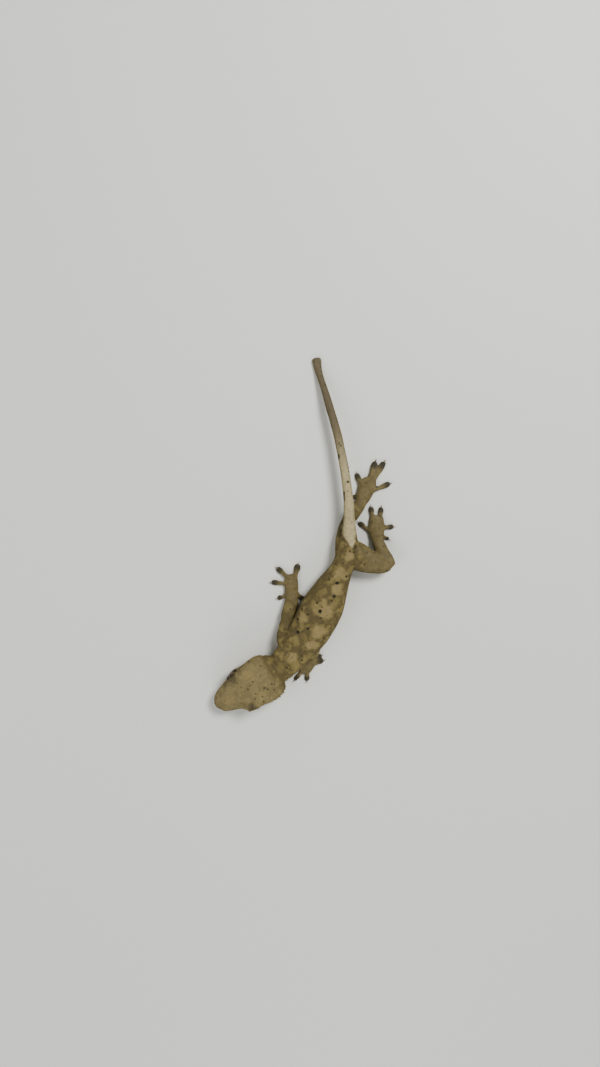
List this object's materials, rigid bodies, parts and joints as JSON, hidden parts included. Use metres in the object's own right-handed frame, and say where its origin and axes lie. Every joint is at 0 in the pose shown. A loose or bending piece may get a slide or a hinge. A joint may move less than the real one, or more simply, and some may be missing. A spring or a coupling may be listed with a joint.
{
  "type": "crested gecko",
  "caption": "Small lizard with a wide crested head, spread toe pads and a long tail, stretched out on its feet with its head low and bent to one side.",
  "frame": {"origin": "middle of the animal's plan, on the surface that it stands on", "axes": "+Y runs along the animal from its head end to its tail end, +Z out of the surface that it stands on, so its back faces +Z"},
  "size_m": [0.0828, 0.1594, 0.015],
  "materials": {
    "skin": "dry, fine granular scales",
    "eye": "wet gloss",
    "claw": "smooth horn"
  },
  "bodies": {
    "root": {"head": "skin", "jaw": "skin", "neck": "skin", "trunk": "skin", "pelvis": "skin", "tail_base": "skin", "tail_middle": "skin", "tail_end": "skin", "tail_tip": "skin", "right_fore_upper": "skin", "right_fore_lower": "skin", "right_fore_foot": "skin", "left_fore_upper": "skin", "left_fore_lower": "skin", "left_fore_foot": "skin", "left_hind_upper": "skin", "left_hind_lower": "skin", "left_hind_foot": "skin", "right_hind_upper": "skin", "right_hind_lower": "skin", "right_hind_foot": "skin", "eye_left": "eye", "eye_right": "eye", "right_fore_claw_1": "claw", "right_fore_claw_2": "claw", "right_fore_claw_3": "claw", "right_fore_claw_4": "claw", "right_fore_claw_5": "claw", "left_fore_claw_1": "claw", "left_fore_claw_2": "claw", "left_fore_claw_3": "claw", "left_fore_claw_4": "claw", "left_fore_claw_5": "claw", "left_hind_claw_1": "claw", "left_hind_claw_2": "claw", "left_hind_claw_3": "claw", "left_hind_claw_4": "claw", "left_hind_claw_5": "claw", "right_hind_claw_1": "claw", "right_hind_claw_2": "claw", "right_hind_claw_3": "claw", "right_hind_claw_4": "claw", "right_hind_claw_5": "claw"}
  },
  "joints": []
}
